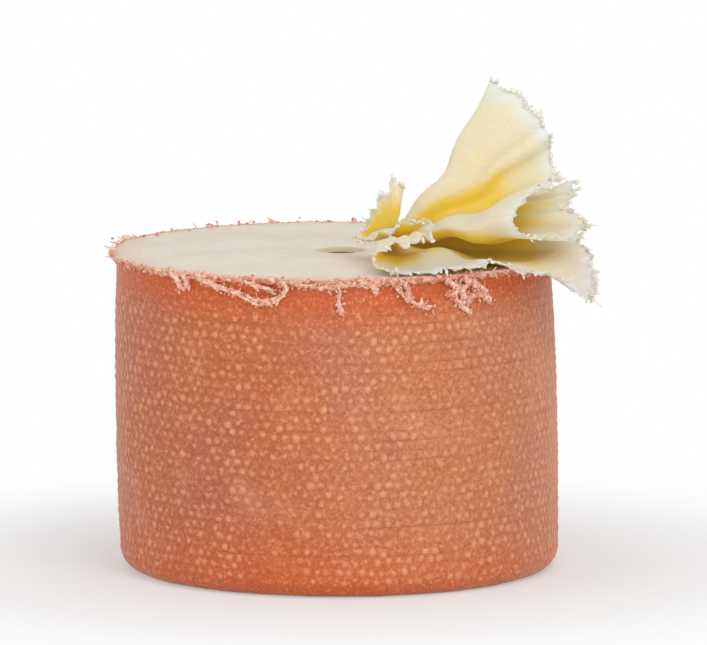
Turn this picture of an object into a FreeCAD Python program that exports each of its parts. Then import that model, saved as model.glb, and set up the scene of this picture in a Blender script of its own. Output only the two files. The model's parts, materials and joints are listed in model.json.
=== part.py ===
"""A small drum-shaped washed-rind cheese that has been scraped on a spindle, with a fresh rosette on top.

Two solids, in millimetres. The frame's origin is on the spindle's axis, in the plane that the wheel stands on,
with +Z up. The rosette fans out from beside the bore towards +X and hangs over the rim there.

wheel    the drum: slightly barrel-shaped, out of round and leaning, with a rounded foot, a flared lip of rind
         round the scraped top, the spindle's bore and the shallow seat that the scraper's sleeve has pressed
rosette  one thin shaving as long as a full turn of the scraper, gathered into a fan of folds, with a ruffled
         outer edge. Its inner edge was cut beside the sleeve and its outer edge at the rind.
"""

import FreeCAD, Part
import math
import os

Vector = FreeCAD.Vector

# ---- the wheel -------------------------------------------------------------------------------------------------
wheel_height = 80.0
belly_radius = 55.2  # where the drum is widest
belly_height = 34.0
barrel_depth = 1.1  # how much narrower the drum is at its farther end than at the belly
lean = 1.6  # how far the top's centre stands off the foot's centre, towards -X
spindle_offset = 0.6  # how far the spindle was put beside the foot's centre, towards +X
foot_edge_radius = 5.0

# The drum's unevenness: lobes round the circle, depth and turn in degrees.
OUT_OF_ROUND = ((2, 0.35, 20.0), (3, 0.22, 75.0), (5, 0.12, 10.0))

# ---- the lip of rind that the scraper drags outwards -------------------------------------------------------------
lip_reach = 1.7
lip_thickness = 1.0
LIP_WAVES = ((7, 0.40, 0.0), (11, 0.28, 50.0), (18, 0.20, 15.0))

# ---- the spindle's hole and the seat of the scraper's sleeve -----------------------------------------------------
bore_radius = 4.1
sleeve_radius = 5.8
sleeve_seat_depth = 0.9

# ---- the shaving -------------------------------------------------------------------------------------------------
sheet_thickness = 0.5
seat_clearance = 0.25  # air between the shaving and the scraped top where it rests
gather_radius = 5.5  # from the gather's centre to the shaving's inner edge
gather_height = 3.2
gather_turn = -37.7  # where the gather lies round the bore, in degrees from +X
gather_gap = 8.1  # from the sleeve's wall to the gather's centre
fan_concavity = 18.0
buckle_depth = 1.2
buckle_pitch = 21.0
buckle_slant = 2.0  # how far the buckles run askew across the fan
ruffle_depth = 1.0
ruffle_pitch = 16.0
ruffle_growth = 2.5  # how much the ruffles keep to the outer edge
rest_softness = 1.6  # how gently the sheet comes to lie on the top
droop = 0.06  # how fast it falls away past the rim

# Where the outer edge of each fold points from the gather, from the back of the fan to its front curl:
# azimuth and elevation in degrees, and reach as a share of the shaving's width.
FOLDS = (
    (62, 4, 0.60),
    (46, 10, 0.82),
    (34, 27, 0.88),
    (40, 40, 0.88),
    (26, 51, 0.93),
    (9, 57, 0.96),
    (-4, 53, 1.01),
    (-8, 43, 1.00),
    (-3, 35, 0.99),
    (2, 28, 0.98),
    (-1, 21, 0.95),
    (-16, 20, 0.93),
    (-31, 21, 0.94),
    (-43, 18, 0.97),
    (-47, 10, 0.92),
    (-38, 5, 0.95),
    (-20, 4, 1.00),
    (-4, 5, 1.02),
    (5, 11, 1.03),
    (9, 18, 1.05),
    (18, 15, 0.98),
    (17, 6, 0.98),
    (8, -2, 1.03),
    (-2, -9, 1.06),
    (-18, -15, 1.15),
    (-30, -7, 1.06),
    (-46, -2, 0.94),
    (-62, -2, 0.90),
    (-80, -6, 0.91),
    (-95, -3, 0.82),
    (-95, 6, 0.74),
    (-78, 8, 0.70),
    (-63, 10, 0.60),
    (-66, 22, 0.48),
    (-92, 18, 0.38),
    (-122, 6, 0.28),
    (-146, 6, 0.20),
    (-152, 28, 0.16),
    (-126, 56, 0.22),
    (-84, 74, 0.42),
    (-36, 76, 0.42),
    (0, 70, 0.32),
)

# ---- how finely the curved faces are laid out --------------------------------------------------------------------
section_points = 72
wall_spans = 4
lip_spans = 4
sheet_columns = 240
sheet_rows = 13
path_samples = 1600
sewing_tolerance = 0.001


def waves(angle, terms):
    """The sum of a few waves round the circle, each with its lobes, depth and turn."""
    return sum(depth * math.cos(lobes * angle + math.radians(turn)) for lobes, depth, turn in terms)


def drum_centre(z):
    """Where the drum's axis stands at height z, along X."""
    return -spindle_offset - lean * z / wheel_height


def drum_radius(z, angle):
    """The side wall's radius about the drum's own axis, without the lip."""
    span = max(belly_height, wheel_height - belly_height)
    narrowing = barrel_depth * ((z - belly_height) / span) ** 2
    return belly_radius - narrowing + waves(angle, OUT_OF_ROUND)


def lip_flare(z, angle):
    """How far the lip stands out at height z: nothing below it, and its whole reach at the scraped top."""
    below = wheel_height - z
    if below >= 2 * lip_thickness:
        return 0.0
    share = 1 - below / (2 * lip_thickness)
    return share**2 * (lip_reach + waves(angle, LIP_WAVES))


def drum_section(z):
    """A closed smooth wire round the drum at height z."""
    points = []
    for i in range(section_points):
        angle = 2 * math.pi * i / section_points
        radius = drum_radius(z, angle) + lip_flare(z, angle)
        points.append(Vector(drum_centre(z) + radius * math.cos(angle), radius * math.sin(angle), z))
    curve = Part.BSplineCurve()
    curve.interpolate(Points=points, PeriodicFlag=True)
    return Part.Wire(curve.toShape())


def make_wheel():
    lip_foot = wheel_height - 2 * lip_thickness
    wall = Part.makeLoft([drum_section(lip_foot * k / wall_spans) for k in range(wall_spans + 1)], True)
    lip = Part.makeLoft(
        [drum_section(lip_foot + 2 * lip_thickness * k / lip_spans) for k in range(lip_spans + 1)], True
    )
    drum = wall.fuse(lip)
    foot = [edge for edge in drum.Edges if edge.BoundBox.ZMax < foot_edge_radius / 2]
    drum = drum.makeFillet(foot_edge_radius, foot)
    bore = Part.makeCylinder(bore_radius, 2 * wheel_height, Vector(0, 0, -wheel_height / 2))
    seat = Part.makeCylinder(sleeve_radius, wheel_height, Vector(0, 0, wheel_height - sleeve_seat_depth))
    return drum.cut(bore).cut(seat)


# ---- the shaving's shape -----------------------------------------------------------------------------------------
def between(values, place):
    """A smooth curve drawn along the values as a cubic spline, read at place, which counts them from 0."""
    last = len(values) - 1
    i = min(int(place), last - 1)
    f = place - i
    first, second = values[i], values[i + 1]
    before = values[i - 1] if i > 0 else 2 * first - second
    after = values[i + 2] if i + 2 <= last else 2 * second - first
    return (
        before * (1 - f) ** 3
        + first * (3 * f**3 - 6 * f**2 + 4)
        + second * (-3 * f**3 + 3 * f**2 + 3 * f + 1)
        + after * f**3
    ) / 6


def direction(azimuth, elevation):
    """The unit vector that points that way, both in radians."""
    level = math.cos(elevation)
    return Vector(level * math.cos(azimuth), level * math.sin(azimuth), math.sin(elevation))


def fold_path():
    """The outer edge of the gathered sheet, evenly spaced along its own length: azimuth, elevation and reach."""
    azimuths, elevations, shares = zip(*FOLDS)
    last = len(FOLDS) - 1
    fine = []
    run = 0.0
    for k in range(path_samples + 1):
        place = last * k / path_samples
        azimuth = math.radians(between(azimuths, place))
        elevation = math.radians(between(elevations, place))
        reach = sheet_width() * between(shares, place)
        tip = direction(azimuth, elevation) * reach
        if fine:
            run += (tip - fine[-1][-1]).Length
        fine.append((run, azimuth, elevation, reach, tip))
    rows = []
    k = 0
    for column in range(sheet_columns):
        wanted = run * column / (sheet_columns - 1)
        while k < path_samples - 1 and fine[k + 1][0] < wanted:
            k += 1
        share = (wanted - fine[k][0]) / (fine[k + 1][0] - fine[k][0])
        rows.append([a + share * (b - a) for a, b in zip(fine[k][1:4], fine[k + 1][1:4])])
    return rows


def sheet_width():
    """The scraper cuts from the sleeve to the rind."""
    return belly_radius - sleeve_radius


def gather_centre():
    """The point that the folds fan out from, beside the seat of the sleeve."""
    away = sleeve_radius + gather_gap
    turn = math.radians(gather_turn)
    return Vector(away * math.cos(turn), away * math.sin(turn), wheel_height + gather_height)


def resting_height(x, y):
    """The lowest that the sheet's middle may lie over that point: on the scraped top, and falling past the rim."""
    from_axis = math.hypot(x - drum_centre(wheel_height), y)
    past = max(0.0, from_axis - belly_radius + barrel_depth - lip_reach)
    return wheel_height + seat_clearance + sheet_thickness / 2 - droop * past**2


def softly_above(height, lowest):
    """The larger of the two heights, rounded off where they come together."""
    over = height - lowest
    return lowest + (over + math.hypot(over, rest_softness)) / 2


def sheet_point(azimuth, elevation, reach, share):
    """The middle of the sheet's thickness, as a share of the way out along one line of the fan.

    Ruffles and buckles bend the space that the fan lies in, so folds that lie side by side nest and never cross.
    """
    along = gather_radius + (reach - gather_radius) * share
    out = along / sheet_width()
    ruffle = ruffle_depth * out**ruffle_growth / along
    waves_round = 2 * math.pi * sheet_width() / ruffle_pitch
    buckle = buckle_depth * math.sin(math.pi * min(out, 1.0)) ** 2 / along
    elevation += ruffle * math.sin(waves_round * azimuth)
    elevation -= buckle * math.sin(2 * math.pi * along / buckle_pitch + buckle_slant * azimuth)
    azimuth += ruffle * math.sin(waves_round * elevation)
    point = gather_centre() + direction(azimuth, elevation) * along
    point.z -= fan_concavity * out * (1 - out) * max(0.0, math.sin(elevation)) ** 2
    point.z = softly_above(point.z, resting_height(point.x, point.y))
    return point


def sheet_faces(grid):
    """The two sides of the sheet, each a smooth surface half the thickness off the middle."""
    columns, rows = len(grid), len(grid[0])
    sides = ([], [])
    for i in range(columns):
        for side in sides:
            side.append([])
        for j in range(rows):
            ahead, behind = grid[min(i + 1, columns - 1)][j], grid[max(i - 1, 0)][j]
            outer, inner = grid[i][min(j + 1, rows - 1)], grid[i][max(j - 1, 0)]
            normal = (ahead - behind).cross(outer - inner)
            normal.normalize()
            for side, sign in zip(sides, (1, -1)):
                side[-1].append(grid[i][j] + normal * (sign * sheet_thickness / 2))
    surfaces = []
    for side in sides:
        surface = Part.BSplineSurface()
        surface.interpolate(side)
        surfaces.append(surface)
    return surfaces


def make_rosette():
    path = fold_path()
    grid = [[sheet_point(*row, j / (sheet_rows - 1)) for j in range(sheet_rows)] for row in path]
    front, back = sheet_faces(grid)
    faces = [front.toShape(), back.toShape()]
    first_u, last_u, first_v, last_v = front.bounds()
    same_way = 1
    for at_u in (first_u, last_u):
        faces.append(Part.makeRuledSurface(front.uIso(at_u).toShape(), back.uIso(at_u).toShape(), same_way))
    for at_v in (first_v, last_v):
        faces.append(Part.makeRuledSurface(front.vIso(at_v).toShape(), back.vIso(at_v).toShape(), same_way))
    skin = Part.makeCompound(faces)
    skin.sewShape(sewing_tolerance)
    return Part.makeSolid(skin.Shells[0])


def main():
    os.makedirs("parts", exist_ok=True)
    for name, make in (("wheel", make_wheel), ("rosette", make_rosette)):
        shape = make()
        box = shape.BoundBox
        print(f"{name}: valid {shape.isValid()}, {len(shape.Solids)} solid, {shape.Volume / 1000:.2f} cm3,"
              f" X {box.XMin:.1f} {box.XMax:.1f} Y {box.YMin:.1f} {box.YMax:.1f} Z {box.ZMin:.1f} {box.ZMax:.1f}")
        shape.exportStep(f"parts/{name}.step")


main()
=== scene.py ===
"""Looks of a small drum-shaped washed-rind cheese, scraped on top round a spindle's hole, with a rosette.

Everything is in metres in the frame's own place: the spindle's axis is Z, the wheel stands on Z = 0, and the
rosette fans out towards +X. Each piece rides on the frame's one body, "root", and two of them stand for a CAD
solid.

wheel_drum     the wheel with its bumped rind, ragged lip, scraped top and spindle's hole, in place of wheel
rim_ropes      ropes of crumbled rind and paste that the scraper left hanging from the rim
rope_crumbs    crumbs that lie loose along those ropes
crumbs         crumbs scattered along the rim
rosette_sheet  the gathered shaving with its frill, in place of rosette
torn_edge      crumbly tongues along the shaving's outer edge
"""

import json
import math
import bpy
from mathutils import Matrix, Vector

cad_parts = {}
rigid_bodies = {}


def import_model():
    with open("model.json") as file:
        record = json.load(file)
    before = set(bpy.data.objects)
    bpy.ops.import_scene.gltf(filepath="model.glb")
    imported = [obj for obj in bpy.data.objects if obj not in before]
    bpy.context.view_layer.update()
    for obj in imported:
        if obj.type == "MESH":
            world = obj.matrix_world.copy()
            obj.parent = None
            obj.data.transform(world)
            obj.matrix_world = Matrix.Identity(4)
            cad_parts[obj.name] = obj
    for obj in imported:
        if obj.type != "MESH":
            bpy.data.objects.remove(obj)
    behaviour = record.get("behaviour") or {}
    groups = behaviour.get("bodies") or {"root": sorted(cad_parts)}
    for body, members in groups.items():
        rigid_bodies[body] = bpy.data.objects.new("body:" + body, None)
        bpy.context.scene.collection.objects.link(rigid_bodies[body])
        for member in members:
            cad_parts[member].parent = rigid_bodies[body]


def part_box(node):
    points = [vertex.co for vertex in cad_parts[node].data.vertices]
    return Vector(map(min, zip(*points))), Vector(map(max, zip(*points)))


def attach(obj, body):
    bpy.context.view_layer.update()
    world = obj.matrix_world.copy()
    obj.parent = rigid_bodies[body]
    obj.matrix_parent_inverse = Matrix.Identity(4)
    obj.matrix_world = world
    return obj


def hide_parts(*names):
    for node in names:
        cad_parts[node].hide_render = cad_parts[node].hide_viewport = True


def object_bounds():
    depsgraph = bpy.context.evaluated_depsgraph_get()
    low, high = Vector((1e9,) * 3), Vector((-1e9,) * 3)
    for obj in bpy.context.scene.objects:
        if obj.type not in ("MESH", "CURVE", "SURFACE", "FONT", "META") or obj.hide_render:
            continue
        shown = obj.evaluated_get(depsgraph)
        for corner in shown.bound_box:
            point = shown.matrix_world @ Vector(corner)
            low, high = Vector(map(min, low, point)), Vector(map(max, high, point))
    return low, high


bl_info = {
    "name": "Scraped Drum Cheese",
    "version": (1, 0, 0),
    "blender": (4, 5, 0),
    "location": "3D View > Sidebar > Cheese",
    "description": "Builds a washed-rind drum cheese, scraped on top, with a fresh rosette",
    "category": "Mesh",
}

import bpy
import numpy as np
from bpy.props import FloatProperty, FloatVectorProperty, IntProperty, PointerProperty
from mathutils import Vector
from mathutils.bvhtree import BVHTree

for leftover in list(bpy.data.objects):
    bpy.data.objects.remove(leftover)
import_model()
CAD_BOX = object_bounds()
WHEEL_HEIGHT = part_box("wheel")[1][2]
BODY = "root"
MM = 0.001

# The drum's unevenness and the lip's waves: lobes round the circle, depth in millimetres and turn in degrees.
OUT_OF_ROUND = ((2, 0.35, 20.0), (3, 0.22, 75.0), (5, 0.12, 10.0))
LIP_WAVES = ((7, 0.40, 0.0), (11, 0.28, 50.0), (18, 0.20, 15.0))
LIP_RAGS = ((29, 0.16, 80.0), (41, 0.15, 10.0), (67, 0.13, 140.0), (97, 0.12, 35.0), (139, 0.08, 200.0))

# Where the outer edge of each fold points from the gather, from the back of the fan to its front curl:
# azimuth and elevation in degrees, and reach as a share of the shaving's width.
FOLDS = (
    (62, 4, 0.60),
    (46, 10, 0.82),
    (34, 27, 0.88),
    (40, 40, 0.88),
    (26, 51, 0.93),
    (9, 57, 0.96),
    (-4, 53, 1.01),
    (-8, 43, 1.00),
    (-3, 35, 0.99),
    (2, 28, 0.98),
    (-1, 21, 0.95),
    (-16, 20, 0.93),
    (-31, 21, 0.94),
    (-43, 18, 0.97),
    (-47, 10, 0.92),
    (-38, 5, 0.95),
    (-20, 4, 1.00),
    (-4, 5, 1.02),
    (5, 11, 1.03),
    (9, 18, 1.05),
    (18, 15, 0.98),
    (17, 6, 0.98),
    (8, -2, 1.03),
    (-2, -9, 1.06),
    (-18, -15, 1.15),
    (-30, -7, 1.06),
    (-46, -2, 0.94),
    (-62, -2, 0.90),
    (-80, -6, 0.91),
    (-95, -3, 0.82),
    (-95, 6, 0.74),
    (-78, 8, 0.70),
    (-63, 10, 0.60),
    (-66, 22, 0.48),
    (-92, 18, 0.38),
    (-122, 6, 0.28),
    (-146, 6, 0.20),
    (-152, 28, 0.16),
    (-126, 56, 0.22),
    (-84, 74, 0.42),
    (-36, 76, 0.42),
    (0, 70, 0.32),
)

# The ropes of crumbled rind that hang on the shown side: width in millimetres, and the points that each
# passes, as degrees round the spindle and millimetres below the top.
ROPES = (
    (2.6, ((-136, 0.2), (-134, 1.8), (-133, 3.4), (-132, 4.4))),
    (2.2, ((-131, 0.4), (-130.5, 2.2), (-131, 4.2))),
    (1.5, ((-127, 0.8), (-124, 2.2), (-120, 3.1), (-116, 4.2), (-112, 5.2), (-109, 6.2))),
    (1.7, ((-102.5, 0.6), (-102, 2.4), (-103, 4.4), (-106, 5.8), (-109, 6.3))),
    (1.2, ((-113, 0.6), (-111, 1.9), (-108, 2.6), (-105.5, 3.8))),
    (1.6, ((-101, 1.0), (-97, 1.9), (-92, 2.3), (-88, 1.8), (-84, 1.0), (-80, 0.8))),
    (1.5, ((-88.5, 1.0), (-88, 3.0), (-88.5, 5.2), (-88, 7.2), (-87.5, 8.6))),
    (1.8, ((-84, 0.6), (-81, 1.0), (-79, 2.4), (-78.5, 4.2))),
    (2.0, ((-75.5, 0.6), (-73.5, 2.2), (-71.5, 4.2), (-69, 6.0), (-66, 7.2), (-63.5, 7.8))),
    (1.3, ((-72, 1.0), (-70, 2.6), (-69.5, 5.0))),
    (2.4, ((-59.5, 0.6), (-57.5, 2.0), (-55, 3.6), (-54, 5.6), (-52.5, 7.6))),
    (2.6, ((-54.5, 0.5), (-51, 2.0), (-48, 4.2), (-46, 6.4), (-45.5, 8.0))),
    (1.8, ((-58.5, 4.4), (-56.5, 5.8), (-54.5, 8.2), (-52, 9.6))),
    (1.9, ((-50, 1.0), (-52.5, 3.0), (-56, 4.0), (-59, 5.0))),
    (1.6, ((-49, 4.6), (-51.5, 6.0), (-53.5, 6.6))),
    (1.4, ((-33, 0.6), (-31.5, 1.8), (-28.5, 2.6))),
)

# The drum's mesh: columns and rows for each bump, and rings on the standing face, round the foot, in the
# lip's flare, over the top and down the hole.
MESH_PER_BUMP = 4
FACE_RINGS = 9
FOOT_RINGS = 7
LIP_RINGS = 5
TOP_RINGS = 25
BORE_RINGS = 12

# The lattice of bumps: how its rows tilt with height and wander round the wheel, how far each bump strays in
# its cell, the range of their sizes, and how ragged their outlines are.
TILT_WAVE = 55.0
ROW_TILT = 0.004
WANDER_LOBES = 3.0
ROW_WANDER = 0.22
STRAY = 0.22
BUMP_SIZES = (0.7, 1.15)
OUTLINE_GRAIN = 650.0
OUTLINE_DEPTH = 0.0011

# Where the bumps fade: below the rim, over the foot, and by chance in soft patches. The last value is the
# grain of the wall's soft hollows.
BARE_RIM = 0.003
FOOT_FADE = (0.0012, 0.004)
PATCH_GRAIN = 38.0
SMOOTHEST_PATCH = 0.55
WEAKEST_BUMP = 0.3
HOLLOW_GRAIN = 90.0

# The thin lines between rows of bumps.
LINE_WIDTH = 0.0004
ROWS_WITHOUT_LINE = 0.62

# The ropes and flakes at the rim, and the crumbs between them, whose band has rings of (inset from the rim,
# how crowded).
STRANDS = 3
ROPE_FLATNESS = 0.8
FEWEST_GRAINS = 5
SPIKE_ROOT = 0.0012
SPIKE_FLATNESS = 0.35
LUMPS = (0.55, 1.35)
CRUMB_SIZES = (0.35, 1.5)
DARKEST_CRUMB = 0.7
CRUMB_BAND = ((0.0005, 1.0), (0.0022, 0.35), (0.0055, 0.04))

# How far the buckles run askew across the fan, and how much the ruffles keep to the outer edge.
BUCKLE_SLANT = 2.0
RUFFLE_GROWTH = 2.5

# How far apart the torn edge's changes lie: its ragged stretches, nicks and gashes, and the frill's drift,
# swell and fine crumple. And how deep in the sheet its tongues begin.
STRETCH_PITCH = 0.020
NICK_PITCHES = (0.0008, 0.0019)
GASH_PITCH = 0.0036
DRIFT_PITCH = 0.011
SWELL_PITCH = 0.017
CRUMPLE_PITCH = 0.0013
TONGUE_ROOT = 0.0005

# How the hollows between the folds are found, where the yellow glow is painted: every so many columns and
# rows, by this many rays of this reach that start just off the sheet, and how much the wheel's top counts
# where a ray meets it.
RECESS_STEPS = (10, 3)
RECESS_RAYS = 24
RECESS_REACH = 0.03
RECESS_STAND_OFF = 0.0009
TOP_SHADE = 0.6

# The stage: the lamps as name, place, size and share of the key light's power, the floor's width, and how far
# from the spindle the floor turns white to the camera.
LAMPS = (
    ("key", (0.35, -0.7, 0.8), 0.55, 1.0),
    ("fill", (-0.8, -0.3, 0.35), 0.6, 0.3),
    ("front", (0.05, -1.0, 0.1), 0.5, 1.1),
    ("back", (0.3, 0.8, 0.6), 0.5, 0.1),
)
WHITE = (1.0, 1.0, 1.0)
FLOOR_WIDTH = 8.0
SHADOW_FADE = (0.055, 0.17)


def srgb(red, green, blue):
    """A colour given in 0 to 255 steps, as the linear values that a shader takes."""
    shares = (red / 255, green / 255, blue / 255)
    return tuple(s / 12.92 if s <= 0.04045 else ((s + 0.055) / 1.055) ** 2.4 for s in shares)


# ---- settings ----------------------------------------------------------------------------------------
def length(name, description, default):
    return FloatProperty(name=name, description=description, default=default, unit="LENGTH", precision=5)


def share(name, description, default):
    within = {"min": 0.0, "max": 1.0, "subtype": "FACTOR"}
    return FloatProperty(name=name, description=description, default=default, **within)


def colour(name, description, default):
    within = {"min": 0.0, "max": 1.0, "subtype": "COLOR"}
    return FloatVectorProperty(name=name, description=description, default=default, **within)


def turning(name, description, degrees):
    return FloatProperty(name=name, description=description, default=math.radians(degrees), subtype="ANGLE")


def number(name, description, default):
    return FloatProperty(name=name, description=description, default=default)


def whole(name, description, default):
    return IntProperty(name=name, description=description, default=default)


class DrumSettings(bpy.types.PropertyGroup):
    height: length("Height", "From the standing plane to the scraped top", WHEEL_HEIGHT)
    belly_radius: length("Belly radius", "Radius where the drum is widest", 0.0552)
    belly_height: length("Belly height", "Height of the widest place", 0.034)
    barrel_depth: length("Barrel depth", "How much narrower the drum is at its farther end", 0.0011)
    lean: length("Lean", "How far the top's centre stands off the foot's", 0.0016)
    spindle_offset: length("Spindle offset", "How far the spindle stands off the foot's centre", 0.0006)
    foot_radius: length("Foot rounding", "Radius of the rounded edge at the foot", 0.005)
    lip_reach: length("Lip reach", "How far the rind is dragged outwards at the top", 0.0017)
    lip_thickness: length("Lip thickness", "Half the height over which the lip flares", 0.001)
    bore_radius: length("Hole radius", "Radius of the spindle's hole", 0.0041)
    seat_radius: length("Seat radius", "Radius of the mark of the scraper's sleeve", 0.0058)
    seat_depth: length("Seat depth", "Depth of the mark of the scraper's sleeve", 0.0009)


class RindSettings(bpy.types.PropertyGroup):
    bumps_round: whole("Bumps round", "Bumps in one row round the wheel", 126)
    row_pitch: length("Row pitch", "Height from one row of bumps to the next", 0.0024)
    bump_radius: length("Bump radius", "From a bump's middle to where it runs out", 0.0015)
    bump_height: length("Bump height", "How far a full bump stands out", 0.00028)
    bare_band: length("Bare band", "Height below the rim where the bumps fade out", 0.013)
    unevenness: length("Unevenness", "Depth of the rind's soft hollows", 0.0005)
    bloom: share("Bloom", "How dusty the rind looks where it turns away", 0.3)
    salmon: colour("Salmon", "Main colour of the rind", srgb(187, 98, 48))
    orange: colour("Orange", "Colour near the rim and the foot", srgb(202, 88, 26))
    rose: colour("Rose", "Colour of the pinker places", srgb(178, 92, 68))
    # Straw is the pale dry patches' own colour, and also the painted light on the paler +X side.
    dry_and_lit_straw: colour("Straw", "Colour of the pale dry places", srgb(208, 138, 98))
    bump_colour: colour("Bump colour", "Colour on top of the bumps", srgb(230, 158, 114))
    pit_colour: colour("Pit colour", "Colour of the darker grain between the bumps", srgb(158, 76, 42))
    torn_colour: colour("Torn colour", "Colour of the torn band at the rim", srgb(238, 198, 176))
    seed: whole("Seed", "Seed of the bumps' own sizes and places", 7)


class PasteSettings(bpy.types.PropertyGroup):
    cream: colour("Cream", "Main colour of the scraped top", srgb(234, 221, 201))
    cloud: colour("Cloud", "Colour of the top's soft clouds", srgb(228, 212, 190))
    arcs: colour("Arcs", "Colour of the faint arcs that the blade left", srgb(214, 192, 158))
    rim: colour("Rim", "Colour of the drier band at the rim", srgb(226, 188, 166))
    seat: colour("Seat", "Colour round the hole", srgb(205, 176, 128))
    # Painted shade: this dark colour inside the hole stands for the shade there.
    bore: colour("Hole", "Colour inside the hole", srgb(128, 88, 54))


class ShredSettings(bpy.types.PropertyGroup):
    grain_size: length("Grain size", "Size of the crumbs that a rope of rind is made of", 0.00038)
    roughness: share("Roughness", "How uneven a rope's crumbs are", 0.45)
    loose_crumbs: number("Loose crumbs", "Crumbs beside each grain of a rope", 0.7)
    rope_count: whole("Ropes", "Long ropes round the rest of the rim", 20)
    small_count: whole("Short ropes", "Short ropes all round the rim", 430)
    spike_count: whole("Spikes", "Thin flakes that stick out at the rim", 36)
    pale: colour("Pale", "Colour of the scraped paste in the ropes", srgb(255, 216, 192))
    dark: colour("Dark", "Colour of the rind in the ropes", srgb(216, 104, 62))
    crumb_density: number("Crumb density", "Crumbs to the square metre of rim band", 110000.0)
    crumb_size: length("Crumb size", "Radius of a middling crumb", 0.00034)
    seed: whole("Seed", "Seed of the ropes and crumbs", 11)


class RosetteSettings(bpy.types.PropertyGroup):
    thickness: length("Thickness", "Thickness of the shaving", 0.0005)
    edge_thickness: length("Edge thickness", "Thickness at the frayed edge", 0.00022)
    seat_clearance: length("Seat clearance", "Air between the shaving and the top", 0.00025)
    gather_radius: length("Gather radius", "From the gather's centre to the inner edge", 0.0055)
    gather_height: length("Gather height", "Height of the gather's centre over the top", 0.0032)
    gather_turn: turning("Gather turn", "Where the gather lies round the hole", -37.7)
    gather_gap: length("Gather gap", "From the seat's wall to the gather's centre", 0.0081)
    concavity: length("Concavity", "How far the standing folds sag in their middle", 0.018)
    buckle_depth: length("Buckle depth", "Depth of the soft folds across the fan", 0.0012)
    buckle_pitch: length("Buckle pitch", "Spacing of the soft folds across the fan", 0.021)
    ruffle_depth: length("Ruffle depth", "Depth of the waves along the outer edge", 0.0010)
    ruffle_pitch: length("Ruffle pitch", "Spacing of the waves along the outer edge", 0.016)
    frill_depth: length("Frill depth", "Depth of the fine frill along the outer edge", 0.0009)
    frill_pitch: length("Frill pitch", "Spacing of the fine frill", 0.0062)
    fray_depth: length("Fray depth", "Depth of the tears in the outer edge", 0.0042)
    tongues: whole("Tongues", "Crumbly tongues along the outer edge", 1500)
    tongue_length: length("Tongue length", "Length of a middling tongue", 0.0008)
    tongue_width: length("Tongue width", "Width of the widest tongues", 0.0013)
    rest_softness: length("Rest softness", "How gently the sheet comes to lie on the top", 0.0016)
    droop: number("Droop", "Fall past the rim, in metres for each square metre", 60.0)
    columns: whole("Columns", "Mesh columns along the shaving", 1300)
    rows: whole("Rows", "Mesh rows across the shaving", 36)
    cream: colour("Cream", "Colour of the shaving", srgb(228, 214, 186))
    # Painted light: the yellow glow deep between the folds, in place of light bouncing between them and
    # shining through them.
    painted_fold_glow: colour("Butter", "Colour deep between the folds", srgb(248, 205, 92))
    streak: colour("Streak", "Colour of the fine pale streaks", srgb(238, 228, 206))
    torn: colour("Torn", "Colour of the torn outer edge", srgb(242, 235, 218))
    seed: whole("Seed", "Seed of the frill and the tears", 5)


class StageSettings(bpy.types.PropertyGroup):
    floor: colour("Floor", "Colour of the floor", (0.86, 0.86, 0.85))
    backdrop: number("Backdrop", "Brightness of the background", 1.0)
    sky: number("Sky", "Strength of the even light from all round", 0.62)
    key: number("Key light", "Power of the key lamp, in watts", 2.9)
    camera_height: turning("Camera height", "Angle of the view above level", 8.0)
    camera_distance: length("Camera distance", "From the camera to the wheel", 2.5)
    view_width: length("View width", "Width of the view at the wheel", 0.178)


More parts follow.
